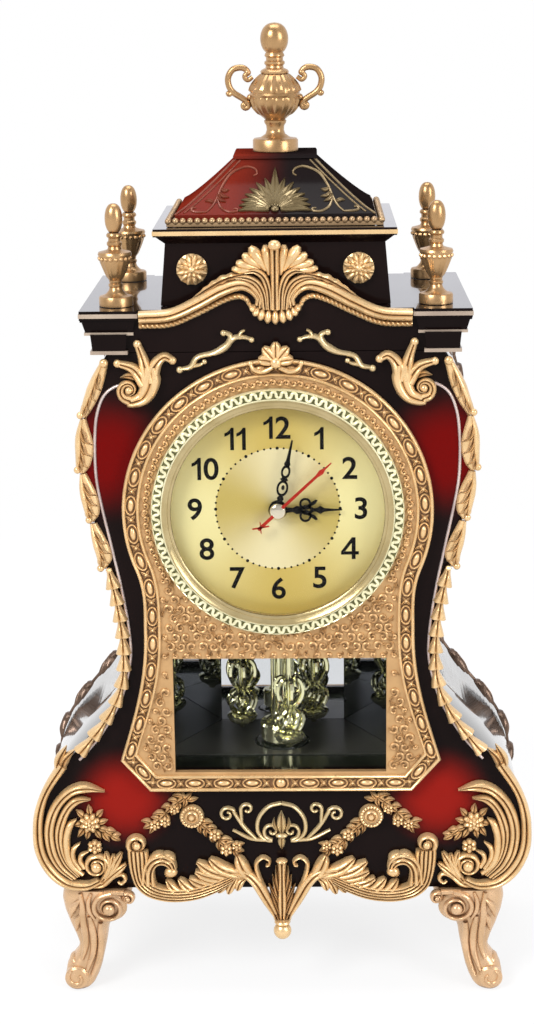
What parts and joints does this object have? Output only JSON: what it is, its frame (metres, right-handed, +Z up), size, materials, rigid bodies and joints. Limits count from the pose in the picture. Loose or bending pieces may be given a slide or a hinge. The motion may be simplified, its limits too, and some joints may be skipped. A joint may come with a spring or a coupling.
{
  "type": "musical table clock",
  "caption": "Free-standing rococo musical clock: waisted lacquer case on scrolled feet, gilt mounts, urn top, round dial over a glazed chamber with a turning pendulum, hinged rear door.",
  "frame": {"origin": "middle of the footprint on the table, under the four feet", "axes": "+Z up, the dial faces -Y, +X to the right as seen from the front"},
  "size_m": [0.2402, 0.1218, 0.4598],
  "materials": {
    "case_lacquer": "polished black-brown lacquer",
    "roof_lacquer": "polished red-brown lacquer",
    "gilt": "antique satin gilding on moulded plastic",
    "foot_gilt": "antique satin gilding, slightly pinker",
    "bezel_gilt": "bright pale gold plating",
    "clear_glass": "clear",
    "dial_gold": "brushed gold sheet",
    "hand_black": "black",
    "hand_red": "red",
    "chamber_black": "gloss black",
    "mirror_pane": "silvered",
    "plated_gold": "bright pale gold plating",
    "black_plastic": "fine grained black moulding",
    "wheel_plastic": "natural white moulding",
    "cell_sleeve": "plain dark green sleeve",
    "speaker_cone": "matt black cone and basket"
  },
  "bodies": {
    "case": {"body_shell": "case_lacquer", "top_deck": "case_lacquer", "attic": "case_lacquer", "roof": "roof_lacquer", "bead_rail": "gilt", "urn": "gilt", "urn_handle_left": "gilt", "urn_handle_right": "gilt", "corner_scroll_left": "gilt", "corner_scroll_right": "gilt", "sprig_left": "gilt", "sprig_right": "gilt", "leaf_chain_left": "gilt", "leaf_chain_right": "gilt", "rear_mount_left": "gilt", "rear_mount_right": "gilt", "base_scroll_left": "gilt", "base_scroll_right": "gilt", "swag_left": "gilt", "swag_right": "gilt", "rosette_left": "gilt", "rosette_right": "gilt", "finial_front_left": "gilt", "finial_front_right": "gilt", "finial_rear_left": "gilt", "finial_rear_right": "gilt", "crest_rail": "gilt", "centre_scroll": "gilt", "apron_mount": "gilt", "dial_frame": "gilt", "foot_front_left": "foot_gilt", "foot_front_right": "foot_gilt", "foot_rear_left": "foot_gilt", "foot_rear_right": "foot_gilt", "bezel": "bezel_gilt", "lens": "clear_glass", "window_glass": "clear_glass", "dial": "dial_gold", "chamber_floor": "chamber_black", "mirror_screen": "mirror_pane", "pendulum_motor": "black_plastic", "back_cover": "black_plastic", "movement_case": "black_plastic", "movement_cover": "black_plastic", "movement_cell": "cell_sleeve", "music_module": "black_plastic", "music_cell_lower": "cell_sleeve", "music_cell_upper": "cell_sleeve", "speaker": "speaker_cone"},
    "hour_hand": {"hour_hand": "hand_black"},
    "minute_hand": {"minute_hand": "hand_black"},
    "second_hand": {"second_hand": "hand_red"},
    "third_wheel": {"third_wheel": "wheel_plastic"},
    "centre_wheel": {"centre_wheel": "wheel_plastic"},
    "motion_wheel": {"motion_wheel": "wheel_plastic"},
    "setting_knob": {"setting_knob": "wheel_plastic"},
    "pendulum": {"pendulum": "plated_gold"},
    "rear_door": {"rear_door": "black_plastic"},
    "melody_button": {"melody_button": "black_plastic"},
    "sound_switch": {"sound_switch": "black_plastic"}
  },
  "joints": [
    {"name": "second_hand_turn", "type": "hinge", "parent": "case", "child": "second_hand", "pos_m": [0, -0.04, 0.243], "axis": [0, 1, 0], "continuous": true},
    {"name": "third_wheel_turn", "type": "hinge", "parent": "case", "child": "third_wheel", "pos_m": [0, -0.04, 0.25515], "axis": [0, 1, 0], "continuous": true},
    {"name": "centre_wheel_turn", "type": "hinge", "parent": "case", "child": "centre_wheel", "pos_m": [0, -0.04, 0.243], "axis": [0, 1, 0], "continuous": true},
    {"name": "minute_hand_turn", "type": "hinge", "parent": "case", "child": "minute_hand", "pos_m": [0, -0.04, 0.243], "axis": [0, 1, 0], "continuous": true},
    {"name": "motion_wheel_turn", "type": "hinge", "parent": "case", "child": "motion_wheel", "pos_m": [-0.0096, -0.04, 0.243], "axis": [0, 1, 0], "continuous": true},
    {"name": "hour_hand_turn", "type": "hinge", "parent": "case", "child": "hour_hand", "pos_m": [0, -0.04, 0.243], "axis": [0, 1, 0], "continuous": true},
    {"name": "setting_knob_turn", "type": "hinge", "parent": "case", "child": "setting_knob", "pos_m": [-0.01639, -0.03, 0.24979], "axis": [0, 1, 0], "continuous": true},
    {"name": "pendulum_turn", "type": "hinge", "parent": "case", "child": "pendulum", "pos_m": [0, -0.0065, 0.11], "axis": [0, 0, 1], "continuous": true},
    {"name": "rear_door_hinge", "type": "hinge", "parent": "case", "child": "rear_door", "pos_m": [-0.0524, 0.0547, 0.18], "axis": [0, 0, 1], "range_deg": [0, 105]},
    {"name": "melody_button_press", "type": "slide", "parent": "case", "child": "melody_button", "axis": [0, -1, 0], "range_m": [0, 0.0015], "stiffness_N_per_m": 400},
    {"name": "sound_switch_slide", "type": "slide", "parent": "case", "child": "sound_switch", "axis": [1, 0, 0], "range_m": [0, 0.005]}
  ],
  "couplings": [
    {"joint": "third_wheel_turn", "follows": "second_hand_turn", "ratio": -0.125},
    {"joint": "centre_wheel_turn", "follows": "second_hand_turn", "ratio": 0.016667},
    {"joint": "motion_wheel_turn", "follows": "minute_hand_turn", "ratio": -0.33333},
    {"joint": "hour_hand_turn", "follows": "minute_hand_turn", "ratio": 0.083333},
    {"joint": "setting_knob_turn", "follows": "minute_hand_turn", "ratio": 1}
  ]
}
